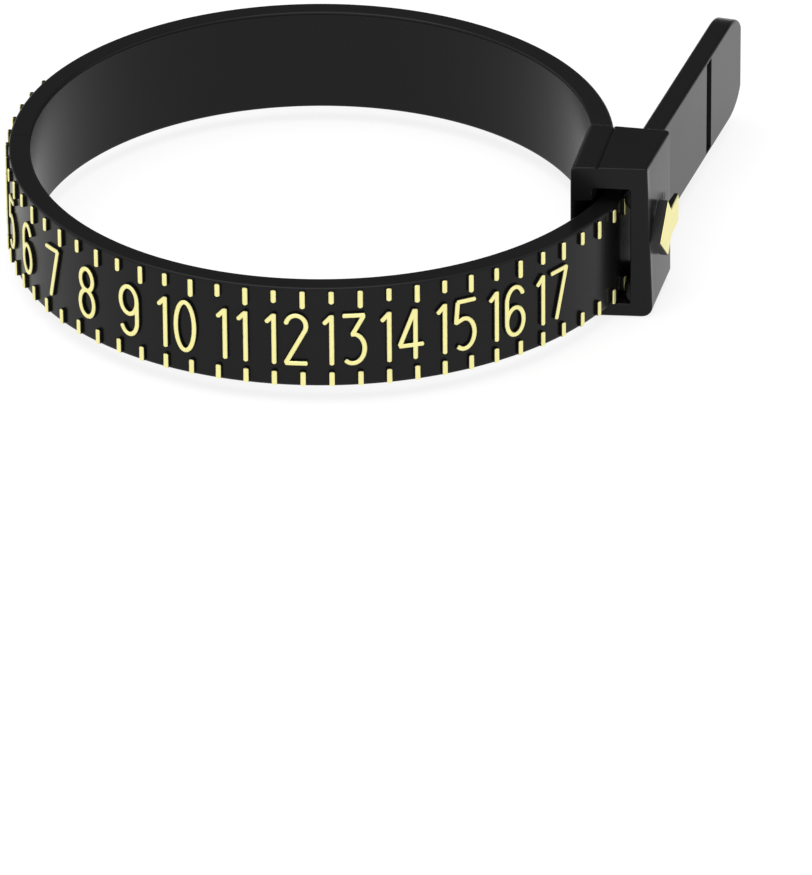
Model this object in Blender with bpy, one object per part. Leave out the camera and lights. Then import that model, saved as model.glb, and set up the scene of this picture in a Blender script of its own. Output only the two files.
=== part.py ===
"""Belt-type finger sizer: a moulded plastic strap whose tail runs through its own buckle head.

The strap leaves the head's rear as the root of the loop, goes once round the finger space and
comes back through the slot in the head. Raised marks, half a ring size apart, stand on its outer
face, and a raised arrow on the head points at them.

Lengths are in millimetres and angles in degrees until MM and math.radians turn them into metres
and radians. The design frame has its origin where the strap's centre line enters the slot, at half
the strap's width, with +Y along the head towards the tail and +X towards the head's outer face.
"""

import math

import bmesh
import bpy
import numpy as np
from mathutils import Vector

MM = 0.001

# Marks: one whole ring size is 2.55 mm of inner circumference, and a mark stands at each half.
HALF_SIZE = 2.55 / 2
MOUTH_SIZE = 18.5
FIRST_SIZE = 1.0
LAST_SIZE = 19.0
MARK_WIDTH = 0.30
MARK_RAISE = 0.18
MARK_ROOT = 0.10
LONG_MARK = 1.00
SHORT_MARK = 0.73
LOWER_MARK = 0.83
MARK_MARGIN = 0.08

# Strap section.
STRAP_WIDTH = 5.10
STRAP_THICKNESS = 1.03
STRAP_CHAMFER = 0.12

# Loop: the centre line's curvature rises evenly from the mouth of the slot to the root.
LOOP_LENGTH = 83.82
MOUTH_CURVATURE = 0.06713
CURVATURE_RISE = 0.00812
MOUTH_ANGLE = 17.93

# Tail: straight along the slide axis, which leans out from the head's own axis.
SLIDE_ANGLE = 6.0
BEND_LENGTH = 1.0
TAIL_LENGTH = 21.6
TIP_LENGTH = 2.1
TIP_HALF_WIDTH = 1.30
GROOVE_AT = 15.95
GROOVE_WIDTH = 0.30
GROOVE_DEPTH = 0.12

# Flexing zones of the strap, in half sizes along the strap from the mouth, with a saw-thin gap
# between neighbours so that they can turn about their hinge lines. The first zones hang from the
# tail and the others from the head, so the two rows meet on the loop's far side.
TAIL_END = -0.5
NEAR_ZONES = (2.5, 6.5, 12.5, 18.5, 24.5, 30.5, 36.5)
FAR_ZONE_COUNT = 5
ZONES_ON_TAIL = 6
ZONE_GAP = 0.16
STATION_STEP = 1.3

# Head. Its front face is canted to follow the strap round, and its outer face splays to the rear.
HEAD_REAR = 4.55
HEAD_INNER = -1.50
INNER_FRONT = -0.02
OUTER_FRONT = 0.42
OUTER_AT_FRONT = 2.18
OUTER_AT_REAR = 2.40
HEAD_BOTTOM = -3.35
HEAD_TOP = 4.40
HEAD_BEVEL = 0.16

# Slot: wider than the strap, so that the strap lies across it, with a flare inside the mouth.
SLOT_INNER = -0.50
SLOT_OUTER_AT_MOUTH = 1.27
SLOT_OUTER_AT_REAR = 1.46
SLOT_BOTTOM = -2.67
SLOT_TOP = 3.30
LEAD_IN_LENGTH = 2.0
LEAD_IN_DEPTH = 0.72
TOP_GROOVE = 0.10

# Click bosses: two rounded ribs on the slot's outer wall, beside the rows of marks.
BOSS_RADIUS = 0.34
BOSS_PROUD = 0.33
BOSS_HEIGHT = 1.10
BOSS_AT = 0.70
EMBED = 0.006

# Raised arrow on the head's outer face: its face lies at ARROW_FACE, under a skin of foil.
ARROW_FACE = 2.66
FOIL_THICKNESS = 0.05
ARROW_TIP = 0.50
ARROW_CENTRE = 0.52
BARB_AT = 1.65
BARB_HALF = 1.44
NOTCH_AT = 2.25
SHAFT_HALF = 0.72
SHAFT_END = 3.80

PLASTIC_COLOUR = (0.018, 0.018, 0.020, 1.0)
FOIL_COLOUR = (0.86, 0.74, 0.38, 1.0)


def clear_scene():
    for old in list(bpy.data.objects):
        bpy.data.objects.remove(old, do_unlink=True)


def material(name, colour, roughness, metallic):
    made = bpy.data.materials.new(name)
    made.use_nodes = True
    shader = made.node_tree.nodes["Principled BSDF"]
    shader.inputs["Base Color"].default_value = colour
    shader.inputs["Roughness"].default_value = roughness
    shader.inputs["Metallic"].default_value = metallic
    return made


class CentreLine:
    """The strap's centre line by distance from the mouth: positive round the loop, negative along the tail."""

    STEP = 0.01

    def __init__(self):
        self.s = np.arange(-TAIL_LENGTH - 1.0, LOOP_LENGTH + 1.0, self.STEP)
        bend = math.radians(MOUTH_ANGLE - SLIDE_ANGLE) / BEND_LENGTH
        loop = MOUTH_CURVATURE + CURVATURE_RISE * self.s / LOOP_LENGTH
        curvature = np.where(self.s >= 0, loop, np.where(self.s > -BEND_LENGTH, bend, 0.0))
        turned = self.running_sum(curvature)
        mouth = int(np.argmin(abs(self.s)))
        self.heading = -math.pi / 2 - math.radians(MOUTH_ANGLE) - (turned - turned[mouth])
        x = self.running_sum(np.cos(self.heading))
        y = self.running_sum(np.sin(self.heading))
        self.x = x - x[mouth]
        self.y = y - y[mouth]

    def running_sum(self, rate):
        steps = (rate[1:] + rate[:-1]) / 2 * self.STEP
        return np.concatenate([[0.0], np.cumsum(steps)])

    def point(self, s, outwards=0.0, up=0.0):
        """The point at distance s, moved out of the loop and up, in millimetres."""
        x = np.interp(s, self.s, self.x)
        y = np.interp(s, self.s, self.y)
        heading = np.interp(s, self.s, self.heading)
        return Vector((x - outwards * math.sin(heading), y + outwards * math.cos(heading), up))


def add_solid(name, bm, pivot, look, parent):
    """Makes the object of a bmesh whose points are in design millimetres, with its origin at pivot."""
    bmesh.ops.translate(bm, verts=bm.verts, vec=-pivot)
    bmesh.ops.scale(bm, verts=bm.verts, vec=(MM, MM, MM))
    bmesh.ops.recalc_face_normals(bm, faces=bm.faces)
    mesh = bpy.data.meshes.new(name)
    bm.to_mesh(mesh)
    bm.free()
    mesh.materials.append(look)
    made = bpy.data.objects.new(name, mesh)
    bpy.context.scene.collection.objects.link(made)
    made.location = pivot * MM
    made.parent = parent
    return made


def hide_tool(tool):
    tool.hide_render = True
    tool.display_type = "WIRE"
    return tool


def join_or_cut(target, tool, operation):
    modifier = target.modifiers.new(tool.name, "BOOLEAN")
    modifier.operation = operation
    modifier.solver = "EXACT"
    modifier.object = tool


def skin_rings(bm, rings):
    """A closed solid over rings that have the same number of points, with a face over each end."""
    rows = [[bm.verts.new(p) for p in ring] for ring in rings]
    for row, after in zip(rows, rows[1:]):
        for i in range(len(row)):
            j = (i + 1) % len(row)
            bm.faces.new((row[i], row[j], after[j], after[i]))
    bm.faces.new(rows[0][::-1])
    bm.faces.new(rows[-1])


def add_prism(name, plan, bottom, top, look, parent):
    """An upright prism over an outline in X and Y, with its object's origin at the design origin."""
    bm = bmesh.new()
    skin_rings(bm, [[Vector((x, y, z)) for x, y in plan] for z in (bottom, top)])
    return add_solid(name, bm, Vector(), look, parent)


def strap_half_width(s):
    """Half the strap's width, which narrows over a quarter ellipse at the tail's tip."""
    into_tip = max(0.0, -s - (TAIL_LENGTH - TIP_LENGTH))
    drop = STRAP_WIDTH / 2 - TIP_HALF_WIDTH
    return STRAP_WIDTH / 2 - drop * (1 - math.sqrt(max(0.0, 1 - (into_tip / TIP_LENGTH) ** 2)))


def strap_ring(line, s, depth):
    """The strap's section at s: a rectangle with small chamfers, its outer face let in by depth."""
    wide = strap_half_width(s)
    inner = -STRAP_THICKNESS / 2
    outer = STRAP_THICKNESS / 2 - depth
    cut = STRAP_CHAMFER
    corners = (
        (inner, cut - wide), (inner + cut, -wide), (outer - cut, -wide), (outer, cut - wide),
        (outer, wide - cut), (outer - cut, wide), (inner + cut, wide), (inner, wide - cut),
    )
    return [line.point(s, outwards, up) for outwards, up in corners]


def sweep_strap(line, stations):
    """A closed strap through stations, each a distance along the line and a depth of its outer face."""
    bm = bmesh.new()
    skin_rings(bm, [strap_ring(line, s, depth) for s, depth in stations])
    return bm


def even_stations(start, end):
    count = max(2, math.ceil((end - start) / STATION_STEP) + 1)
    return [(s, 0.0) for s in np.linspace(start, end, count)]


def tail_stations(end):
    """Stations from the tip to the tail's last section, with the cross groove and the rounded tip."""
    tip = [-TAIL_LENGTH + TIP_LENGTH * (1 - math.sin(math.radians(a))) for a in (90, 75, 60, 40, 20, 0)]
    bottom = GROOVE_WIDTH / 4
    edge = GROOVE_WIDTH / 2
    groove = [
        (-GROOVE_AT - edge, 0.0), (-GROOVE_AT - bottom, GROOVE_DEPTH),
        (-GROOVE_AT + bottom, GROOVE_DEPTH), (-GROOVE_AT + edge, 0.0),
    ]
    bend = np.linspace(-BEND_LENGTH, end, 3)
    return [(s, 0.0) for s in tip] + groove + [(s, 0.0) for s in bend]


def mark_rows(size):
    """The lowest and highest point of a size's two marks: the whole sizes' upper marks are longer."""
    upper = LONG_MARK if size == int(size) else SHORT_MARK
    top = STRAP_WIDTH / 2 - MARK_MARGIN
    bottom = MARK_MARGIN - STRAP_WIDTH / 2
    return (top - upper, top), (bottom, bottom + LOWER_MARK)


def mark_section(line, s, up):
    """The four corners of a mark's section at a height, rooted a little inside the strap."""
    heading = np.interp(s, line.s, line.heading)
    along = Vector((math.cos(heading), math.sin(heading), 0)) * MARK_WIDTH / 2
    foot = line.point(s, STRAP_THICKNESS / 2 - MARK_ROOT, up)
    crown = line.point(s, STRAP_THICKNESS / 2 + MARK_RAISE, up)
    return foot - along, crown - along, crown + along, foot + along


def add_marks(line, strap, pivot, start, end, look, parent):
    """Joins the raised marks between start and end to one piece of the strap."""
    bm = bmesh.new()
    for size in np.arange(FIRST_SIZE, LAST_SIZE + 0.25, 0.5):
        s = (MOUTH_SIZE - size) * 2 * HALF_SIZE
        if not start < s < end:
            continue
        for low, high in mark_rows(size):
            skin_rings(bm, [mark_section(line, s, low), mark_section(line, s, high)])
    if not bm.verts:
        bm.free()
        return
    marks = add_solid("marks_of_" + strap.name, bm, pivot, look, parent)
    join_or_cut(strap, hide_tool(marks), "UNION")


def build_tail(line, look, parent):
    end = TAIL_END * HALF_SIZE
    pivot = line.point(-BEND_LENGTH)
    bm = sweep_strap(line, tail_stations(end - ZONE_GAP / 2))
    tail = add_solid("strap_tail", bm, pivot, look, parent)
    add_marks(line, tail, pivot, -TAIL_LENGTH, end, look, parent)
    return tail


def zone_ends():
    """Where each flexing zone starts and ends along the strap."""
    near = [TAIL_END * HALF_SIZE] + [n * HALF_SIZE for n in NEAR_ZONES]
    far = np.linspace(near[-1], LOOP_LENGTH, FAR_ZONE_COUNT + 1)[1:]
    cuts = near + [float(s) for s in far]
    return list(zip(cuts, cuts[1:]))


def build_zones(line, look, parent):
    """The loop's flexing zones, counted from the tail, each with its origin on its hinge line."""
    made = []
    for number, (start, end) in enumerate(zone_ends(), 1):
        pivot = line.point(start if number <= ZONES_ON_TAIL else end)
        bm = sweep_strap(line, even_stations(start + ZONE_GAP / 2, end - ZONE_GAP / 2))
        zone = add_solid(f"strap_zone_{number:02d}", bm, pivot, look, parent)
        add_marks(line, zone, pivot, start, end, look, parent)
        made.append(zone)
    return made


def head_plan():
    return (
        (HEAD_INNER, INNER_FRONT), (OUTER_AT_FRONT, OUTER_FRONT),
        (OUTER_AT_REAR, HEAD_REAR), (HEAD_INNER, HEAD_REAR),
    )


def on_line(y, start, end):
    """X at y on the straight line through two points, each given as (x, y)."""
    return start[0] + (end[0] - start[0]) * (y - start[1]) / (end[1] - start[1])


def outer_face(y):
    return on_line(y, (OUTER_AT_FRONT, OUTER_FRONT), (OUTER_AT_REAR, HEAD_REAR))


def slot_outer(y):
    return on_line(y, (SLOT_OUTER_AT_MOUTH, 0.0), (SLOT_OUTER_AT_REAR, HEAD_REAR))


def slot_plan():
    """The slot from above, longer than the head at both ends, flared on its inner side at the mouth."""
    past = 1.0
    front = -past
    rear = HEAD_REAR + past
    flare = on_line(front, (SLOT_INNER - LEAD_IN_DEPTH, 0.0), (SLOT_INNER, LEAD_IN_LENGTH))
    return (
        (flare, front), (slot_outer(front), front), (slot_outer(rear), rear),
        (SLOT_INNER, rear), (SLOT_INNER, LEAD_IN_LENGTH),
    )


def top_groove_rings():
    """A V-shaped groove along the head's top, above the slot's inner side."""
    top = HEAD_TOP + TOP_GROOVE
    bottom = HEAD_TOP - TOP_GROOVE
    section = ((SLOT_INNER - 2 * TOP_GROOVE, top), (SLOT_INNER, bottom), (SLOT_INNER + 2 * TOP_GROOVE, top))
    return [[Vector((x, y, z)) for x, z in section] for y in (-1.0, HEAD_REAR + 1.0)]


def build_head(look, parent):
    head = add_prism("buckle_head", head_plan(), HEAD_BOTTOM, HEAD_TOP, look, parent)
    bevel = head.modifiers.new("soft_edges", "BEVEL")
    bevel.width = HEAD_BEVEL * MM
    bevel.segments = 2
    slot = add_prism("slot_cutter", slot_plan(), SLOT_BOTTOM, SLOT_TOP, look, parent)
    join_or_cut(head, hide_tool(slot), "DIFFERENCE")
    bm = bmesh.new()
    skin_rings(bm, top_groove_rings())
    groove = add_solid("top_groove_cutter", bm, Vector(), look, parent)
    join_or_cut(head, hide_tool(groove), "DIFFERENCE")
    return head


def build_boss(name, bottom, look, parent):
    """A rounded rib on the slot's outer wall: the part of an upright cylinder that stands in the slot."""
    wall = slot_outer(BOSS_AT)
    centre = wall - BOSS_PROUD + BOSS_RADIUS
    reach = math.acos((centre - wall - EMBED) / BOSS_RADIUS)
    angles = np.linspace(math.pi - reach, math.pi + reach, 9)
    plan = [(centre + BOSS_RADIUS * math.cos(a), BOSS_AT + BOSS_RADIUS * math.sin(a)) for a in angles]
    return add_prism(name, plan, bottom, bottom + BOSS_HEIGHT, look, parent)


def arrow_outline():
    """The arrow's outline in Y and Z, pointing at the mouth of the slot."""
    half = ((0.0, 0.0), (BARB_AT, BARB_HALF), (NOTCH_AT, SHAFT_HALF), (SHAFT_END, SHAFT_HALF))
    upper = [(ARROW_TIP + back, ARROW_CENTRE + side) for back, side in half]
    lower = [(ARROW_TIP + back, ARROW_CENTRE - side) for back, side in half[:0:-1]]
    return upper + lower


def build_arrow(plastic, foil, parent):
    """The moulded arrow, rooted on the head's outer face, and the foil that is stamped on it."""
    root = [Vector((outer_face(y), y, z)) for y, z in arrow_outline()]
    face = [Vector((ARROW_FACE, y, z)) for y, z in arrow_outline()]
    skin = [Vector((ARROW_FACE + FOIL_THICKNESS, y, z)) for y, z in arrow_outline()]
    made = []
    for name, rings, look in (("pointer_arrow", (root, face), plastic), ("pointer_foil", (face, skin), foil)):
        bm = bmesh.new()
        skin_rings(bm, rings)
        made.append(add_solid(name, bm, Vector(), look, parent))
    return made


def stand_on_origin(root, solids):
    """Moves the whole assembly so that the middle of its underside's box is the world's origin."""
    bpy.context.view_layer.update()
    graph = bpy.context.evaluated_depsgraph_get()
    corners = []
    for solid in solids:
        shown = solid.evaluated_get(graph)
        corners += [shown.matrix_world @ Vector(c) for c in shown.bound_box]
    low = [min(c[i] for c in corners) for i in range(3)]
    high = [max(c[i] for c in corners) for i in range(3)]
    root.location = (-(low[0] + high[0]) / 2, -(low[1] + high[1]) / 2, -low[2])
    bpy.context.view_layer.update()


def main():
    clear_scene()
    root = bpy.data.objects.new("finger_sizer", None)
    bpy.context.scene.collection.objects.link(root)
    plastic = material("black_plastic", PLASTIC_COLOUR, 0.32, 0.0)
    foil = material("gold_foil", FOIL_COLOUR, 0.30, 1.0)
    line = CentreLine()

    solids = [build_head(plastic, root), build_tail(line, plastic, root)]
    solids += build_zones(line, plastic, root)
    solids.append(build_boss("click_boss_upper", SLOT_TOP - BOSS_HEIGHT, plastic, root))
    solids.append(build_boss("click_boss_lower", SLOT_BOTTOM, plastic, root))
    solids += build_arrow(plastic, foil, root)
    stand_on_origin(root, solids)


main()
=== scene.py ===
"""Visual model of the belt-type finger sizer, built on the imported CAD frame.

The strap, its raised marks and numerals, the buckle head with its slot and the raised arrow are
made again here with rounded edges and foil, in the places that the CAD gives them. Lengths are in
millimetres in the CAD's design frame until place() turns them into metres in the row frame. The
design frame has its origin where the strap's centre line enters the slot, with +Y along the head
towards the tail and +X towards the head's outer face. A distance along the strap, called s here,
is counted from the mouth of the slot: positive round the loop, negative along the tail. Angles are
in degrees until they are used.
"""

import math

import bmesh
import bpy
import numpy as np
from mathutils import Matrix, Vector


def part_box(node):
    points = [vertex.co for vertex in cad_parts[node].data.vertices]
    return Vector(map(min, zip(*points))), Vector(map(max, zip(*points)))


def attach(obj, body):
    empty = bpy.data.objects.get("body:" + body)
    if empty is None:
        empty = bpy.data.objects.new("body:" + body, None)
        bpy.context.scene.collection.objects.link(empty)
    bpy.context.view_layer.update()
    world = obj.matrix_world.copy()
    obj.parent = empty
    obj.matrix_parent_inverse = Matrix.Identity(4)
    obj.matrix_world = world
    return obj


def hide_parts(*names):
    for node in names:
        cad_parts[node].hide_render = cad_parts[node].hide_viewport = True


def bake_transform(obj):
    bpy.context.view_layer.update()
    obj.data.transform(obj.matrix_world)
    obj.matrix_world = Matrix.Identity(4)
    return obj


MM = 0.001

# Scale: a mark stands at each half size, and the numerals stand beside the whole sizes' marks.
HALF_SIZE = 2.55 / 2
MOUTH_SIZE = 18.5
FIRST_SIZE = 1.0
LAST_SIZE = 19.0
LAST_NUMERAL = 17
MARK_WIDTH = 0.28
MARK_TOP = 0.18
MARK_ROOT = 0.05
BODY_BEVEL = 0.02
FOIL_INSET = 0.025
FOIL_BOTTOM = 0.125
FOIL_OVERLAP = 0.03
FOIL_BEVEL = 0.03
LONG_MARK = 0.92
SHORT_MARK = 0.67
LOWER_MARK = 0.76
MARK_MARGIN = 0.08
NUMERAL_BOTTOM = -1.41
NUMERAL_HEIGHT = 2.71
NUMERAL_STROKE = 0.26
TENS_AT = 1.0
UNITS_AT = 0.23
SINGLE_AT = 0.52
ELEVEN_AT = (0.74, 0.0)
DIGIT_HALF_WIDTH = 0.165

# Strokes. Those of one digit end at slightly different heights where they cross.
PATH_STEP = 0.12
LAYER_DROP = 0.004
END_ANGLES = (80, 55, 30)
END_REACH = 0.55
LEAST_TOP_SHARE = 0.2

# Strap.
STRAP_WIDTH = 5.10
STRAP_THICKNESS = 1.03
STRAP_ROUND = 0.14
LOOP_LENGTH = 83.82
MOUTH_CURVATURE = 0.06713
CURVATURE_RISE = 0.00812
MOUTH_ANGLE = 17.93
SLIDE_ANGLE = 6.0
BEND_LENGTH = 1.0
TAIL_LENGTH = 21.6
TIP_LENGTH = 2.1
TIP_HALF_WIDTH = 1.30
GROOVE_AT = 15.95
GROOVE_WIDTH = 0.78
GROOVE_DEPTH = 0.22
GROOVE_MARGIN = 0.17
GROOVE_WALL = 0.03
GROOVE_RIM = 0.02
PLAIN_STATIONS = 24
STATION_STEP = 0.3
SEAM_STEP = 0.02
RUN_ON = 1.0
ROOT_EMBED = 0.15
OPEN_CUT_GAP = 0.012

# Where the CAD's zones meet, in half sizes from the mouth, and then evenly to the root.
TAIL_END = -0.5
NEAR_ZONES = (2.5, 6.5, 12.5, 18.5, 24.5, 30.5, 36.5)
FAR_ZONE_COUNT = 5
OPEN_CUT = 6

# Head.
HEAD_REAR = 4.55
HEAD_INNER = -1.50
INNER_FRONT = -0.02
OUTER_FRONT = 0.42
OUTER_AT_FRONT = 2.18
FRONT_AT_BOTTOM = 2.33
FRONT_DRAFT = 0.28
REAR_AT_BOTTOM = 2.36
REAR_BULGE = 0.46
HEAD_BOTTOM = -3.35
HEAD_TOP = 4.40
CORNER_ROUNDS = (0.16, 0.30, 0.20, 0.50)
EDGE_ROUND = 0.10
SLOT_OUTER_AT_MOUTH = 1.27
SLOT_OUTER_AT_REAR = 1.46
SLOT_BOTTOM = -2.67
SLOT_TOP = 3.30
SLOT_ROUND = 0.12
SLOT_RIM_SHARE = 0.6
STRAP_CLEARANCE = 0.08
LEAD_IN_LENGTH = 2.6
LEAD_IN_DEPTH = 0.78
LEAD_IN_TOP = 2.66
LEAD_IN_STEP = 0.06
LEAD_IN_POWER = 1.2
CORNER_STEPS = 5
RIM_STEPS = 4
BODY_STATIONS = 12
BODY_MARGIN = 0.3
GROOVE_TOP_AT = -0.28
GROOVE_TOP_WIDTH = 0.10
GROOVE_TOP_DEPTH = 0.08

# Click bosses.
BOSS_PROUD = 0.36
BOSS_HEIGHT = 1.10
BOSS_AT = 0.70
BOSS_LENGTH = 0.34
BOSS_ROOT = 0.05
BOSS_LEVELS = (0.02, 0.12, 0.3, 0.5, 0.7, 0.88, 0.98)
BOSS_END_LENGTH = 0.7
BOSS_STEPS = 12

# Arrow. It stands on the head's outer face, with its foil on top.
ARROW_FACE = 2.66
ARROW_SPLAY = 0.16
ARROW_ROOT = 0.10
ARROW_CHAMFER = 0.02
ARROW_FOIL = 0.05
ARROW_FOIL_LAP = 0.01
ARROW_FOIL_INSETS = (0.03, 0.035, 0.08)
ARROW_FOIL_SHOULDER = 0.03
ARROW_TIP = 0.50
ARROW_CENTRE = 0.52
BARB_AT = 1.65
BARB_HALF = 1.44
NOTCH_AT = 2.25
SHAFT_HALF = 0.72
SHAFT_END = 3.80

# How far each of its corners moves, back and inwards, for an outline that is drawn in by 1.
TIP_BACK = 1.5
BARB_FORWARD = 0.4
BARB_INWARD = 1.9
NOTCH_FORWARD = 0.7

# Camera, in the design frame.
CAMERA_AZIMUTH = 11.6
CAMERA_ELEVATION = 28.81
CAMERA_ROLL = -0.45
CAMERA_DISTANCE = 486.0
CAMERA_LENS = 443.66
SENSOR = 36.0
CAMERA_TARGET = (-5.4517, -19.0528, 0.0)
CLIP_START = 0.01
CLIP_END = 10.0

# Looks. Scales are in waves per metre and bump distances in metres.
GRAIN_SCALE = 9000.0
PLASTIC_DARK = (0.0040, 0.0040, 0.0044, 1)
PLASTIC_PALE = (0.0065, 0.0065, 0.0072, 1)
PLASTIC_FLOW_SCALE = 180.0
PLASTIC_ROUGHNESS = (0.20, 0.30)
PLASTIC_SPECULAR = 0.16
PLASTIC_BUMP = (0.18, 0.00002)
GROOVE_DARK = (0.004, 0.004, 0.004, 1)
GROOVE_PALE = (0.008, 0.008, 0.009, 1)
GROOVE_ROUGHNESS = 0.7
GROOVE_SPECULAR = 0.15
FOIL_DULL = (0.84, 0.78, 0.31, 1)
FOIL_BRIGHT = (0.94, 0.89, 0.42, 1)
FOIL_PATCH_SCALE = 2200.0
FOIL_WRINKLE_SCALE = 7000.0
FOIL_ROUGHNESS = (0.32, 0.50)
FOIL_METALLIC = 0.75
FOIL_BUMP = (0.25, 0.00003)

# Floor and light. The world's light fades from the front towards the back.
FLOOR_HALF_SIZE = 1500.0
FLOOR_DROP = 0.02
FLOOR_DARK = (0.22, 0.22, 0.22, 1)
FLOOR_PALE = (0.24, 0.24, 0.24, 1)
FLOOR_CLOUD_SCALE = 3.0
FLOOR_ROUGHNESS = 0.9
FLOOR_GLOW = 0.80
WHITE = (1.0, 1.0, 1.0, 1.0)
FADE_FROM = 0.25
FADE_TO = 0.75
WORLD_FRONT = 1.0
WORLD_BACK = 0.16
KEY_AT = (-60, -60, 300)
KEY_AIM = (-12, -10, 0)
KEY_SIZE = 300
KEY_POWER = 0.5


def design_origin():
    """The design frame's origin in row millimetres, from the head's box."""
    low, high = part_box("buckle_head")
    inner, rear, bottom = low[0] / MM, high[1] / MM, low[2] / MM
    return Vector((inner - HEAD_INNER, rear - HEAD_REAR, bottom - HEAD_BOTTOM))


def place(point):
    """A design point in millimetres as a row point in metres."""
    return (Vector(point) + ORIGIN) * MM


class CentreLine:
    """The strap's centre line by distance from the mouth."""

    STEP = 0.01

    def __init__(self):
        self.s = np.arange(-TAIL_LENGTH - RUN_ON, LOOP_LENGTH + RUN_ON, self.STEP)
        bend = math.radians(MOUTH_ANGLE - SLIDE_ANGLE) / BEND_LENGTH
        loop = MOUTH_CURVATURE + CURVATURE_RISE * self.s / LOOP_LENGTH
        curvature = np.where(self.s >= 0, loop, np.where(self.s > -BEND_LENGTH, bend, 0.0))
        turned = self.running_sum(curvature)
        mouth = int(np.argmin(abs(self.s)))
        self.heading = -math.pi / 2 - math.radians(MOUTH_ANGLE) - (turned - turned[mouth])
        x = self.running_sum(np.cos(self.heading))
        y = self.running_sum(np.sin(self.heading))
        self.x = x - x[mouth]
        self.y = y - y[mouth]

    def running_sum(self, rate):
        """The integral of a rate over the stations, from 0 at the first."""
        steps = (rate[1:] + rate[:-1]) / 2 * self.STEP
        return np.concatenate([[0.0], np.cumsum(steps)])

    def point(self, s, outwards=0.0, up=0.0):
        """The point at s, moved away from the loop's middle and up."""
        x = np.interp(s, self.s, self.x)
        y = np.interp(s, self.s, self.y)
        heading = np.interp(s, self.s, self.heading)
        return Vector((x - outwards * math.sin(heading), y + outwards * math.cos(heading), up))


# Materials.

def set_input(shader, name, value):
    shader.inputs[name].default_value = value


def new_material(name):
    made = bpy.data.materials.new(name)
    made.use_nodes = True
    return made, made.node_tree, made.node_tree.nodes["Principled BSDF"]


def noise_node(tree, scale, detail):
    """Noise in object space, with its scale in waves per metre."""
    where = tree.nodes.new("ShaderNodeTexCoord")
    noise = tree.nodes.new("ShaderNodeTexNoise")
    noise.inputs["Scale"].default_value = scale
    noise.inputs["Detail"].default_value = detail
    tree.links.new(where.outputs["Object"], noise.inputs["Vector"])
    return noise


def map_range(tree, source, low, high):
    node = tree.nodes.new("ShaderNodeMapRange")
    node.inputs["To Min"].default_value = low
    node.inputs["To Max"].default_value = high
    tree.links.new(source, node.inputs["Value"])
    return node.outputs["Result"]


def add_bump(tree, shader, height, strength, distance):
    bump = tree.nodes.new("ShaderNodeBump")
    bump.inputs["Strength"].default_value = strength
    bump.inputs["Distance"].default_value = distance
    tree.links.new(height, bump.inputs["Height"])
    tree.links.new(bump.outputs["Normal"], shader.inputs["Normal"])


def colour_between(tree, factor, first, second):
    ramp = tree.nodes.new("ShaderNodeValToRGB")
    ramp.color_ramp.elements[0].color = first
    ramp.color_ramp.elements[1].color = second
    tree.links.new(factor, ramp.inputs["Fac"])
    return ramp.outputs["Color"]


def black_plastic():
    """Moulded satin black: a faint spark-eroded grain, and flow clouds in its roughness."""
    made, tree, shader = new_material("moulded_black")
    flow = noise_node(tree, PLASTIC_FLOW_SCALE, 3.0)
    grain = noise_node(tree, GRAIN_SCALE, 2.0)
    tint = colour_between(tree, flow.outputs["Fac"], PLASTIC_DARK, PLASTIC_PALE)
    roughness = map_range(tree, flow.outputs["Fac"], *PLASTIC_ROUGHNESS)
    tree.links.new(tint, shader.inputs["Base Color"])
    tree.links.new(roughness, shader.inputs["Roughness"])
    set_input(shader, "Specular IOR Level", PLASTIC_SPECULAR)
    add_bump(tree, shader, grain.outputs["Fac"], *PLASTIC_BUMP)
    return made


def groove_black():
    """The shaded bottom of a moulded groove: the same plastic with no gloss left on it."""
    made, tree, shader = new_material("groove_black")
    grain = noise_node(tree, GRAIN_SCALE, 2.0)
    tint = colour_between(tree, grain.outputs["Fac"], GROOVE_DARK, GROOVE_PALE)
    tree.links.new(tint, shader.inputs["Base Color"])
    set_input(shader, "Roughness", GROOVE_ROUGHNESS)
    set_input(shader, "Specular IOR Level", GROOVE_SPECULAR)
    return made


def gold_foil():
    """Hot-stamped foil: pale gold metal with small wrinkles and patches of duller shine."""
    made, tree, shader = new_material("stamped_gold")
    patches = noise_node(tree, FOIL_PATCH_SCALE, 3.0)
    wrinkles = noise_node(tree, FOIL_WRINKLE_SCALE, 2.0)
    tint = colour_between(tree, patches.outputs["Fac"], FOIL_DULL, FOIL_BRIGHT)
    roughness = map_range(tree, patches.outputs["Fac"], *FOIL_ROUGHNESS)
    tree.links.new(tint, shader.inputs["Base Color"])
    tree.links.new(roughness, shader.inputs["Roughness"])
    set_input(shader, "Metallic", FOIL_METALLIC)
    add_bump(tree, shader, wrinkles.outputs["Fac"], *FOIL_BUMP)
    return made


# Meshes.

def finish_mesh(name, bm, materials, sharp=32.0):
    """The object of a bmesh in design millimetres: smooth, but for its sharp edges and its tagged
    faces."""
    for vert in bm.verts:
        vert.co = place(vert.co)
    bmesh.ops.recalc_face_normals(bm, faces=bm.faces)
    for face in bm.faces:
        face.smooth = not face.tag
    for edge in bm.edges:
        edge.smooth = len(edge.link_faces) == 2 and edge.calc_face_angle() < math.radians(sharp)
    mesh = bpy.data.meshes.new(name)
    bm.to_mesh(mesh)
    bm.free()
    for look in materials:
        mesh.materials.append(look)
    made = bpy.data.objects.new(name, mesh)
    bpy.context.scene.collection.objects.link(made)
    return made


def join_rows(bm, rows):
    """A wall of faces over rows of vertices of equal length, each row closed on itself."""
    for row, after in zip(rows, rows[1:]):
        for i in range(len(row)):
            j = (i + 1) % len(row)
            bm.faces.new((row[i], row[j], after[j], after[i]))


def skin_rings(bm, rings):
    """A closed solid over rings of equal length, with a flat, tagged face over each end."""
    rows = [[bm.verts.new(p) for p in ring] for ring in rings]
    join_rows(bm, rows)
    for end in (rows[0][::-1], rows[-1]):
        bm.faces.new(end).tag = True


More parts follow.
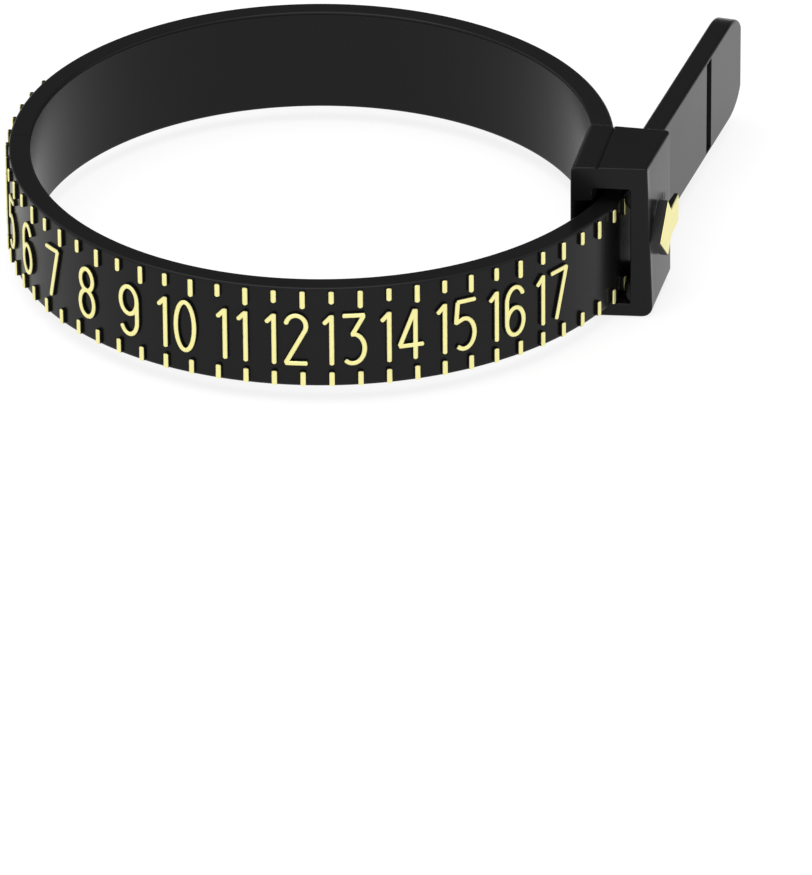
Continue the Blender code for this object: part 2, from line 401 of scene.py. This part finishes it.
def rounded_rectangle(low, high, radii, steps=4):
    """The outline of a rectangle with round corners, between two (x, y) corners, anticlockwise from
    the corner at high. The four radii are in the same order, or one number stands for all."""
    if not isinstance(radii, tuple):
        radii = (radii,) * 4
    corners = (
        (high[0], high[1], 0, radii[0]),
        (low[0], high[1], 90, radii[1]),
        (low[0], low[1], 180, radii[2]),
        (high[0], low[1], 270, radii[3]),
    )
    points = []
    for x, y, first, round_by in corners:
        inward_x = -1 if x == high[0] else 1
        inward_y = -1 if y == high[1] else 1
        for k in range(steps + 1):
            a = math.radians(first + 90 * k / steps)
            points.append((
                x + round_by * (inward_x + math.cos(a)),
                y + round_by * (inward_y + math.sin(a)),
            ))
    return points


# Strap.

def half_width(s):
    """Half the strap's width, which narrows over a quarter ellipse at the tail's tip."""
    into_tip = max(0.0, -s - (TAIL_LENGTH - TIP_LENGTH))
    drop = STRAP_WIDTH / 2 - TIP_HALF_WIDTH
    ellipse = math.sqrt(max(0.0, 1 - (into_tip / TIP_LENGTH) ** 2))
    return STRAP_WIDTH / 2 - drop * (1 - ellipse)


def strap_ring(line, s):
    """The strap's section at s, with its edges rounded."""
    thick = STRAP_THICKNESS / 2
    wide = STRAP_WIDTH / 2
    outline = rounded_rectangle((-thick, -wide), (thick, wide), STRAP_ROUND)
    return [line.point(s, outwards, up) for outwards, up in outline]


def strap_stations(start, end):
    """Close stations from start to end, with a very short first and last step, so that the shading
    of a piece runs on into its neighbour's."""
    count = max(2, math.ceil((end - start) / STATION_STEP))
    inner = np.linspace(start + SEAM_STEP, end - SEAM_STEP, count)
    return [start] + list(inner) + [end]


def tail_ring(line, s, shrink=0.0, groove=0.0):
    """The strap's section with points on its outer face that the cross groove lets in."""
    thick = STRAP_THICKNESS / 2 - shrink
    wide = half_width(s) - shrink
    outline = rounded_rectangle((-thick, -wide), (thick, wide), STRAP_ROUND)
    rim = wide - GROOVE_MARGIN
    foot = rim - GROOVE_WALL
    outline += [(thick, -rim), (thick - groove, -foot), (thick - groove, foot), (thick, rim)]
    return [line.point(s, outwards, up) for outwards, up in outline]


def tail_rings(line, end):
    """Rings of the tail: a softly rounded end, the rounded tip, the cross groove, the plain run."""
    rings = []
    for angle in (0, 30, 60, 90):
        inset = EDGE_ROUND * (1 - math.sin(math.radians(angle)))
        back = EDGE_ROUND * (1 - math.cos(math.radians(angle)))
        rings.append(tail_ring(line, back - TAIL_LENGTH, inset))
    for angle in range(24, 91, 6):
        along = TIP_LENGTH * (1 - math.cos(math.radians(angle)))
        rings.append(tail_ring(line, along - TAIL_LENGTH))
    edge = GROOVE_WIDTH / 2
    sides = (
        (-edge - GROOVE_RIM, 0.0), (GROOVE_WALL - edge, GROOVE_DEPTH),
        (edge - GROOVE_WALL, GROOVE_DEPTH), (edge + GROOVE_RIM, 0.0),
    )
    for s, depth in sides:
        rings.append(tail_ring(line, s - GROOVE_AT, groove=depth))
    plain = np.linspace(1.0 - GROOVE_AT, -BEND_LENGTH, PLAIN_STATIONS)
    rings += [tail_ring(line, s) for s in plain]
    rings += [tail_ring(line, s) for s in strap_stations(0.1 - BEND_LENGTH, end)]
    return rings


def zone_cuts():
    """Where the CAD's zones meet, from the tail's end to the root."""
    near = [TAIL_END * HALF_SIZE] + [n * HALF_SIZE for n in NEAR_ZONES]
    far = np.linspace(near[-1], LOOP_LENGTH, FAR_ZONE_COUNT + 1)[1:]
    return near + [float(s) for s in far]


def strap_pieces():
    """(name, start, end, first body, second body or None, blend start, blend end) for each piece.

    A piece runs from the middle of one zone to the middle of the next, across their hinge.
    At the open cut, where no hinge joins the zones, the strap has a plain joint face."""
    cuts = zone_cuts()
    middles = [(a + b) / 2 for a, b in zip(cuts, cuts[1:])]
    bodies = [f"zone_{n:02d}" for n in range(1, len(middles) + 1)]
    first, last = middles[0], middles[-1]
    before = cuts[0] - (first - cuts[0])
    beyond = 2 * cuts[-1] - last
    root = LOOP_LENGTH + ROOT_EMBED
    made = [("strap_tail_run", -TAIL_LENGTH, first, "tail", bodies[0], before, first)]
    for n in range(1, len(middles)):
        start, end = middles[n - 1], middles[n]
        near, far = bodies[n - 1], bodies[n]
        if n == OPEN_CUT:
            made.append(("strap_side_a", start, cuts[n] - OPEN_CUT_GAP, near, None, 0.0, 0.0))
            made.append(("strap_side_b", cuts[n] + OPEN_CUT_GAP, end, far, None, 0.0, 0.0))
        else:
            made.append((f"strap_bend_{n:02d}", start, end, near, far, start, end))
    made.append(("strap_root", last, root, bodies[-1], "head", last, beyond))
    return made


# Marks and numerals, each drawn as strokes whose points are (to the right, up) as they are read.

def arc(cx, cy, rx, ry, first, last, steps):
    """Points of an ellipse about (cx, cy), from the first angle to the last, anticlockwise."""
    angles = np.radians(np.linspace(first, last, steps))
    return [(cx + rx * math.cos(a), cy + ry * math.sin(a)) for a in angles]


def digit_strokes(digit):
    """A digit's strokes in a box 1 high, with right and up in the same unit, its middle at 0."""
    w = DIGIT_HALF_WIDTH
    strokes = {
        "0": [arc(0, 0.5, w, 0.46, 90, 450, 33)],
        "1": [
            [(0.0, 0.04), (0.0, 0.96)],
            [(-0.115, 0.82), (-0.01, 0.94)],
        ],
        "2": [
            arc(0, 0.76, w, 0.20, 165, -20, 13) + [(-w, 0.06)],
            [(-w, 0.045), (w, 0.045)],
        ],
        "3": [
            [(-w, 0.955), (w, 0.955)],
            [(w - 0.01, 0.93), (-0.02, 0.60)],
            [(-0.03, 0.59)] + arc(-0.02, 0.32, w + 0.03, 0.28, 80, -125, 17),
        ],
        "4": [
            [(0.06, 0.955), (-w - 0.02, 0.31)],
            [(-w - 0.02, 0.29), (w + 0.03, 0.29)],
            [(0.075, 0.04), (0.075, 0.955)],
        ],
        "5": [
            [(w, 0.955), (-w + 0.03, 0.955)],
            [(-w + 0.03, 0.94), (-w, 0.56)],
            [(-w, 0.56)] + arc(-0.02, 0.33, w + 0.02, 0.29, 95, -125, 17),
        ],
        "6": [
            arc(0.0, 0.30, w, 0.26, 0, 360, 25),
            [(-w, 0.32), (-w, 0.62)] + arc(0.0, 0.68, w, 0.27, 180, 28, 13),
        ],
        "7": [
            [(-w - 0.01, 0.93), (w, 0.95)],
            [(w, 0.95), (-0.06, 0.04)],
        ],
        "8": [
            arc(0, 0.75, w - 0.02, 0.205, 90, 450, 25),
            arc(0, 0.295, w, 0.25, 90, 450, 29),
        ],
        "9": [
            arc(0.0, 0.70, w, 0.26, 0, 360, 25),
            [(w, 0.68), (w, 0.38)] + arc(0.0, 0.32, w, 0.27, 0, -150, 13),
        ],
    }
    return strokes[digit]


def even_path(points, step):
    """The path's points with more of them put in, so that it follows the strap's curve."""
    path = [np.array(points[0], float)]
    for after in points[1:]:
        after = np.array(after, float)
        start = path[-1]
        count = max(1, math.ceil(float(np.linalg.norm(after - start)) / step))
        path += [start + (after - start) * k / count for k in range(1, count + 1)]
    return path


def round_end(left, right, outwards):
    """Pairs that round off a stroke's end, from the narrowest to the widest."""
    middle = (left + right) / 2
    side = (left - right) / 2
    made = []
    for angle in END_ANGLES:
        a = math.radians(angle)
        ahead = outwards * math.sin(a) * END_REACH
        made.append((middle + side * math.cos(a) + ahead, middle - side * math.cos(a) + ahead))
    return made


def stroke_outline(path, half):
    """Pairs of left and right points along a path, and whether it is closed. A closed path has no
    ends, and the ends of an open one are rounded."""
    closed = float(np.linalg.norm(path[0] - path[-1])) < 1e-6
    last = len(path) - 1
    pairs = []
    directions = []
    for k, here in enumerate(path):
        before = path[k - 1] if k else (path[-2] if closed else here)
        after = path[k + 1] if k < last else (path[1] if closed else here)
        along = (after - before) / np.linalg.norm(after - before)
        side = np.array((-along[1], along[0])) * half
        pairs.append((here + side, here - side))
        directions.append(along)
    if closed:
        return pairs[:-1], True
    start = round_end(*pairs[0], -directions[0] * half)
    end = round_end(*pairs[-1], directions[-1] * half)
    return start + pairs + end[::-1], False


def stroke_ring(line, left, right, s_zero, bottom, top, bevel):
    """A stroke's section between its left and right points, with bevelled edges along its top."""
    middle = (left + right) / 2
    reach = (left - right) / 2
    length = float(np.linalg.norm(reach))
    inner = reach * max(LEAST_TOP_SHARE, (length - bevel) / length)
    section = (
        (reach, bottom), (reach, top - bevel), (inner, top),
        (-inner, top), (-reach, top - bevel), (-reach, bottom),
    )
    ring = []
    for offset, height in section:
        to_right, up = middle + offset
        ring.append(line.point(s_zero - to_right, STRAP_THICKNESS / 2 + height, up))
    return ring


def add_stroke(bm, line, points, half, s_zero, bottom, top, bevel):
    """A raised stroke on the strap's outer face. Its points are to the right of s_zero and up."""
    pairs, closed = stroke_outline(even_path(points, PATH_STEP), half)
    rings = [stroke_ring(line, left, right, s_zero, bottom, top, bevel) for left, right in pairs]
    if closed:
        rows = [[bm.verts.new(p) for p in ring] for ring in rings]
        join_rows(bm, rows + rows[:1])
    else:
        skin_rings(bm, rings)


def mark_strokes(size):
    """A size's upper and lower marks as upright strokes. Whole sizes have longer upper marks."""
    upper = LONG_MARK if size == int(size) else SHORT_MARK
    top = STRAP_WIDTH / 2 - MARK_MARGIN
    end = MARK_WIDTH / 2 * END_REACH
    for low, high in ((top - upper, top), (-top, LOWER_MARK - top)):
        yield [(0.0, low + end), (0.0, high - end)]


def numeral_places(text):
    """How many half sizes left of its mark the middle of each digit stands."""
    if text == "11":
        return ELEVEN_AT
    return (TENS_AT, UNITS_AT) if len(text) == 2 else (SINGLE_AT,)


def scale_strokes():
    """(s of its mark, s of its own zero, stroke, half width, layer) for all marks and numerals."""
    made = []
    for size in np.arange(FIRST_SIZE, LAST_SIZE + 0.25, 0.5):
        s = (MOUTH_SIZE - size) * 2 * HALF_SIZE
        made += [(s, s, stroke, MARK_WIDTH / 2, 0) for stroke in mark_strokes(size)]
        if size != int(size) or size > LAST_NUMERAL:
            continue
        text = str(int(size))
        for digit, at in zip(text, numeral_places(text)):
            for layer, stroke in enumerate(digit_strokes(digit)):
                high = NUMERAL_HEIGHT
                scaled = [(x * high, NUMERAL_BOTTOM + y * high) for x, y in stroke]
                made.append((s, s + at * HALF_SIZE, scaled, NUMERAL_STROKE / 2, layer))
    return made


def add_scale(line, bm, start, end, bottom, top, bevel, inset=0.0):
    """Adds the strokes whose mark is between start and end, and says how many there are."""
    count = 0
    for mark, s, stroke, half, layer in scale_strokes():
        if not start <= mark < end:
            continue
        add_stroke(bm, line, stroke, half - inset, s, bottom, top - LAYER_DROP * layer, bevel)
        count += 1
    return count


def hang_piece(piece, line, first, second, from_s, to_s):
    """Rides a piece on its first body when it has no second; a piece with a second body is left
    where it stands, on no body.
    """
    if second is None:
        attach(piece, first)
    else:
        place(line.point(from_s))
        place(line.point(to_s))
        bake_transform(piece)


def build_strap(line, plastic, dark, foil):
    """The strap's pieces with their marks, and the foil on the marks. Returns the tail's piece."""
    for name, start, end, first, second, *reach in strap_pieces():
        bm = bmesh.new()
        if start == -TAIL_LENGTH:
            skin_rings(bm, tail_rings(line, end))
            shade_groove(bm, line)
        else:
            skin_rings(bm, [strap_ring(line, s) for s in strap_stations(start, end)])
        add_scale(line, bm, start, end, -MARK_ROOT, FOIL_BOTTOM, BODY_BEVEL)
        strap = finish_mesh(name, bm, [plastic, dark])
        hang_piece(strap, line, first, second, *reach)
        bm = bmesh.new()
        bottom = FOIL_BOTTOM - FOIL_OVERLAP
        if add_scale(line, bm, start, end, bottom, MARK_TOP, FOIL_BEVEL, FOIL_INSET):
            caps = finish_mesh(name.replace("strap", "scale"), bm, [foil], 60.0)
            hang_piece(caps, line, first, second, *reach)
        else:
            bm.free()
    return bpy.data.objects["strap_tail_run"]


def shade_groove(bm, line):
    """Gives the cross groove's walls and bottom the dark look."""
    middle = line.point(-GROOVE_AT)
    along = (line.point(-GROOVE_AT + 1.0) - middle).normalized()
    out = (line.point(-GROOVE_AT, 1.0) - middle).normalized()
    for face in bm.faces:
        offset = face.calc_center_median() - middle
        in_width = abs(offset.dot(along)) <= GROOVE_WIDTH / 2
        in_height = abs(offset.z) <= STRAP_WIDTH / 2 - GROOVE_MARGIN
        in_depth = 0.0 < offset.dot(out) < STRAP_THICKNESS / 2 - GROOVE_RIM
        if in_width and in_height and in_depth:
            face.material_index = 1


# Head.

def on_line(y, start, end):
    """X at y on the straight line through two points, each given as (x, y)."""
    return start[0] + (end[0] - start[0]) * (y - start[1]) / (end[1] - start[1])


def outer_face(y, z):
    """The head's outer face: drafted at the front, and bulging at half height at the rear."""
    rise = (z - HEAD_BOTTOM) / (HEAD_TOP - HEAD_BOTTOM)
    back = min(1.0, max(0.0, (y - OUTER_FRONT) / (HEAD_REAR - OUTER_FRONT)))
    front = FRONT_AT_BOTTOM - FRONT_DRAFT * rise
    rear = REAR_AT_BOTTOM + REAR_BULGE * math.sin(math.pi * min(1.0, max(0.0, rise)))
    return front + (rear - front) * back


def slot_outer(y):
    return on_line(y, (SLOT_OUTER_AT_MOUTH, 0.0), (SLOT_OUTER_AT_REAR, HEAD_REAR))


def slot_inner(y):
    """The slot's inner wall follows the tail's inner face, which leans out along the slide axis."""
    lean = math.tan(math.radians(SLIDE_ANGLE))
    bend = LINE.point(-BEND_LENGTH)
    thick = STRAP_THICKNESS / 2 / math.cos(math.radians(SLIDE_ANGLE))
    return bend.x + (y - bend.y) * lean - thick - STRAP_CLEARANCE


def lead_in(y):
    """How far the slot's inner wall is let in at y, to let the strap bend as it comes in."""
    return LEAD_IN_DEPTH * max(0.0, 1 - y / LEAD_IN_LENGTH) ** LEAD_IN_POWER


def canted(x, y):
    """Y with the front face's cant put in, which dies out towards the rear."""
    cant = (OUTER_FRONT - INNER_FRONT) / (OUTER_AT_FRONT - HEAD_INNER)
    front = INNER_FRONT + cant * (x - HEAD_INNER)
    return y + front * max(0.0, 1 - y / HEAD_REAR)


def head_profile(y, shrink):
    """The head's outline across Y, with a fine V groove along its top."""
    low = (HEAD_INNER + shrink, HEAD_BOTTOM + shrink)
    high = (OUTER_AT_FRONT - shrink, HEAD_TOP - shrink)
    rounds = tuple(radius - shrink for radius in CORNER_ROUNDS)
    points = []
    for x, z in rounded_rectangle(low, high, rounds, CORNER_STEPS):
        points.append((x + outer_face(y, z) - OUTER_AT_FRONT if x > 0 else x, z))
    groove = [
        (GROOVE_TOP_AT + GROOVE_TOP_WIDTH, high[1]),
        (GROOVE_TOP_AT, high[1] - GROOVE_TOP_DEPTH),
        (GROOVE_TOP_AT - GROOVE_TOP_WIDTH, high[1]),
    ]
    corner = CORNER_STEPS + 1
    return points[:corner] + groove + points[corner:]


def slot_profile(y, grow):
    """The slot's outline across Y. Its inner wall is let in beside the strap, and not above it."""
    low = (slot_inner(y) - grow, SLOT_BOTTOM - grow)
    high = (slot_outer(y) + grow, SLOT_TOP + grow)
    outline = rounded_rectangle(low, high, SLOT_ROUND + grow, CORNER_STEPS)
    first = 2 * (CORNER_STEPS + 1)
    after = 3 * (CORNER_STEPS + 1)
    let_in = lead_in(y)
    step = [(low[0], LEAD_IN_TOP + LEAD_IN_STEP), (low[0] - let_in, LEAD_IN_TOP)]
    low_inner_corner = [(x - let_in, z) for x, z in outline[first:after]]
    return outline[:first] + step + low_inner_corner + outline[after:]


def head_stations():
    """(distance behind the front, inset of the outside) from front to rear, round both rims."""
    rim = []
    for angle in np.linspace(0, math.pi / 2, RIM_STEPS + 1):
        rim.append((EDGE_ROUND * (1 - math.cos(angle)), EDGE_ROUND * (1 - math.sin(angle))))
    between = np.linspace(BODY_MARGIN, HEAD_REAR - BODY_MARGIN, BODY_STATIONS)
    rear = [(HEAD_REAR - along, inset) for along, inset in rim[::-1]]
    return rim + [(y, 0.0) for y in between] + rear


def row_edges(bm, row):
    """The edges round a closed row of vertices."""
    return [bm.edges.get(pair) for pair in zip(row, row[1:] + row[:1])]


def build_head(plastic):
    """The head's outside and its slot as two walls, with flat ends between them."""
    bm = bmesh.new()
    outer_rows = []
    inner_rows = []
    for y, inset in head_stations():
        outside = [Vector((x, canted(x, y), z)) for x, z in head_profile(y, inset)]
        slot = slot_profile(y, inset * SLOT_RIM_SHARE)
        inside = [Vector((x, canted(x, y), z)) for x, z in slot]
        outer_rows.append([bm.verts.new(p) for p in outside])
        inner_rows.append([bm.verts.new(p) for p in inside])
    join_rows(bm, outer_rows)
    join_rows(bm, inner_rows)
    for end in (0, -1):
        edges = row_edges(bm, outer_rows[end]) + row_edges(bm, inner_rows[end])
        for face in bmesh.ops.triangle_fill(bm, edges=edges, use_beauty=True)["geom"]:
            face.tag = True
    head = finish_mesh("head_shell", bm, [plastic], 40.0)
    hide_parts("buckle_head")
    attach(head, "head")


def build_boss(name, node, bottom, plastic):
    """A click boss: a small rounded cushion on the slot's outer wall."""
    root = slot_outer(BOSS_AT) + BOSS_ROOT
    bm = bmesh.new()
    rings = []
    for share in BOSS_LEVELS:
        swell = math.sqrt(max(0.0, 1 - (2 * share - 1) ** 4))
        length = BOSS_LENGTH * (BOSS_END_LENGTH + (1 - BOSS_END_LENGTH) * swell)
        ring = []
        for k in range(BOSS_STEPS + 1):
            a = math.pi * k / BOSS_STEPS
            x = root - (BOSS_PROUD + BOSS_ROOT) * math.sin(a) * swell
            y = BOSS_AT - length * math.cos(a)
            ring.append(Vector((x, y, bottom + BOSS_HEIGHT * share)))
        rings.append(ring)
    skin_rings(bm, rings)
    boss = finish_mesh(name, bm, [plastic], 50.0)
    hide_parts(node)
    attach(boss, "head")


# Arrow.

def arrow_outline(shrink):
    """The arrow's outline in Y and Z, pointing at the mouth of the slot, drawn in by shrink."""
    half = (
        (shrink * TIP_BACK, 0.0),
        (BARB_AT - shrink * BARB_FORWARD, BARB_HALF - shrink * BARB_INWARD),
        (NOTCH_AT - shrink * NOTCH_FORWARD, SHAFT_HALF - shrink),
        (SHAFT_END - shrink, SHAFT_HALF - shrink),
    )
    upper = [(ARROW_TIP + back, ARROW_CENTRE + side) for back, side in half]
    lower = [(ARROW_TIP + back, ARROW_CENTRE - side) for back, side in half[:0:-1]]
    return upper + lower


def arrow_solid(name, levels, look, node):
    """A solid over the arrow's outline at several levels, each an X and an inset of the outline. A
    level with no X lies just inside the head's outer face."""
    bm = bmesh.new()
    rings = []
    for level, inset in levels:
        ring = []
        for y, z in arrow_outline(inset):
            if level is None:
                x = outer_face(y, z) - ARROW_ROOT
            else:
                x = level + ARROW_SPLAY * (y - ARROW_TIP) / SHAFT_END
            ring.append(Vector((x, y, z)))
        rings.append(ring)
    skin_rings(bm, rings)
    made = finish_mesh(name, bm, [look], 30.0)
    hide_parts(node)
    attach(made, "head")


def build_arrow(plastic, foil):
    body = [(None, 0.0), (ARROW_FACE - ARROW_CHAMFER, 0.0), (ARROW_FACE, ARROW_CHAMFER)]
    top = ARROW_FACE + ARROW_FOIL
    levels = (ARROW_FACE - ARROW_FOIL_LAP, top - ARROW_FOIL_SHOULDER, top)
    skin = list(zip(levels, ARROW_FOIL_INSETS))
    arrow_solid("arrow_body", body, plastic, "pointer_arrow")
    arrow_solid("arrow_foil", skin, foil, "pointer_foil")


# Camera, floor and light.

def build_camera():
    """The camera looks at its target from the front and above, and is rolled a little."""
    azimuth = math.radians(CAMERA_AZIMUTH)
    elevation = math.radians(CAMERA_ELEVATION)
    back = Vector((
        math.sin(azimuth) * math.cos(elevation),
        -math.cos(azimuth) * math.cos(elevation),
        math.sin(elevation),
    ))
    data = bpy.data.cameras.new("camera")
    data.lens = CAMERA_LENS
    data.sensor_fit = "VERTICAL"
    data.sensor_height = SENSOR
    data.clip_start = CLIP_START
    data.clip_end = CLIP_END
    camera = bpy.data.objects.new("camera", data)
    bpy.context.scene.collection.objects.link(camera)
    camera.location = place(Vector(CAMERA_TARGET) + back * CAMERA_DISTANCE)
    turn = back.to_track_quat("Z", "Y").to_matrix()
    roll = math.radians(CAMERA_ROLL)
    twist = turn.copy()
    twist.col[0] = turn.col[0] * math.cos(roll) + turn.col[1] * math.sin(roll)
    twist.col[1] = turn.col[1] * math.cos(roll) - turn.col[0] * math.sin(roll)
    camera.rotation_euler = twist.to_euler()
    bpy.context.scene.camera = camera


def build_floor():
    """A wide pale floor just under the part, which glows so that shadows on it stay faint."""
    bm = bmesh.new()
    bmesh.ops.create_grid(bm, x_segments=2, y_segments=2, size=FLOOR_HALF_SIZE)
    for vert in bm.verts:
        vert.co -= Vector((ORIGIN.x, ORIGIN.y, ORIGIN.z + FLOOR_DROP))
    made, tree, shader = new_material("pale_floor")
    cloud = noise_node(tree, FLOOR_CLOUD_SCALE, 2.0)
    tint = colour_between(tree, cloud.outputs["Fac"], FLOOR_DARK, FLOOR_PALE)
    tree.links.new(tint, shader.inputs["Base Color"])
    set_input(shader, "Roughness", FLOOR_ROUGHNESS)
    set_input(shader, "Specular IOR Level", 0.0)
    set_input(shader, "Emission Color", WHITE)
    set_input(shader, "Emission Strength", FLOOR_GLOW)
    floor = finish_mesh("floor", bm, [made])


def build_key_light():
    """A large soft square light, above and in front."""
    data = bpy.data.lights.new("key", "AREA")
    data.shape = "SQUARE"
    data.size = KEY_SIZE * MM
    data.energy = KEY_POWER
    lamp = bpy.data.objects.new("key", data)
    bpy.context.scene.collection.objects.link(lamp)
    lamp.location = place(KEY_AT)
    lamp.rotation_euler = (Vector(KEY_AT) - Vector(KEY_AIM)).to_track_quat("Z", "Y").to_euler()


def build_world():
    """White all round, bright from the front and fading smoothly towards the back."""
    world = bpy.data.worlds.new("studio")
    world.use_nodes = True
    tree = world.node_tree
    background = tree.nodes["Background"]
    background.inputs["Color"].default_value = WHITE
    where = tree.nodes.new("ShaderNodeTexCoord")
    split = tree.nodes.new("ShaderNodeSeparateXYZ")
    fade = tree.nodes.new("ShaderNodeMapRange")
    fade.interpolation_type = "SMOOTHSTEP"
    fade.inputs["From Min"].default_value = FADE_FROM
    fade.inputs["From Max"].default_value = FADE_TO
    fade.inputs["To Min"].default_value = WORLD_FRONT
    fade.inputs["To Max"].default_value = WORLD_BACK
    tree.links.new(where.outputs["Generated"], split.inputs["Vector"])
    tree.links.new(split.outputs["Y"], fade.inputs["Value"])
    tree.links.new(fade.outputs["Result"], background.inputs["Strength"])
    bpy.context.scene.world = world


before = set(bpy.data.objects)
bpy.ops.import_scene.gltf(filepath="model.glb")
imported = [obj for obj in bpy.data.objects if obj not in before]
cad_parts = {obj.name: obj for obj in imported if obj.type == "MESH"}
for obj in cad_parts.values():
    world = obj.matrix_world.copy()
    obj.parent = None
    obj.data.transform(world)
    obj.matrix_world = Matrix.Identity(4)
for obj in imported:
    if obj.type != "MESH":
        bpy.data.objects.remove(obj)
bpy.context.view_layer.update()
ORIGIN = design_origin()
LINE = CentreLine()

PLASTIC = black_plastic()
DARK = groove_black()
FOIL = gold_foil()

# The strap's pieces stand together for all of the CAD's strap nodes.
tail_piece = build_strap(LINE, PLASTIC, DARK, FOIL)
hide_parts(*[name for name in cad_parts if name.startswith("strap_")])
build_head(PLASTIC)
build_boss("boss_upper", "click_boss_upper", SLOT_TOP - BOSS_HEIGHT, PLASTIC)
build_boss("boss_lower", "click_boss_lower", SLOT_BOTTOM, PLASTIC)
build_arrow(PLASTIC, FOIL)
build_floor()
build_camera()
build_world()
build_key_light()
bpy.context.scene.view_settings.view_transform = "Standard"
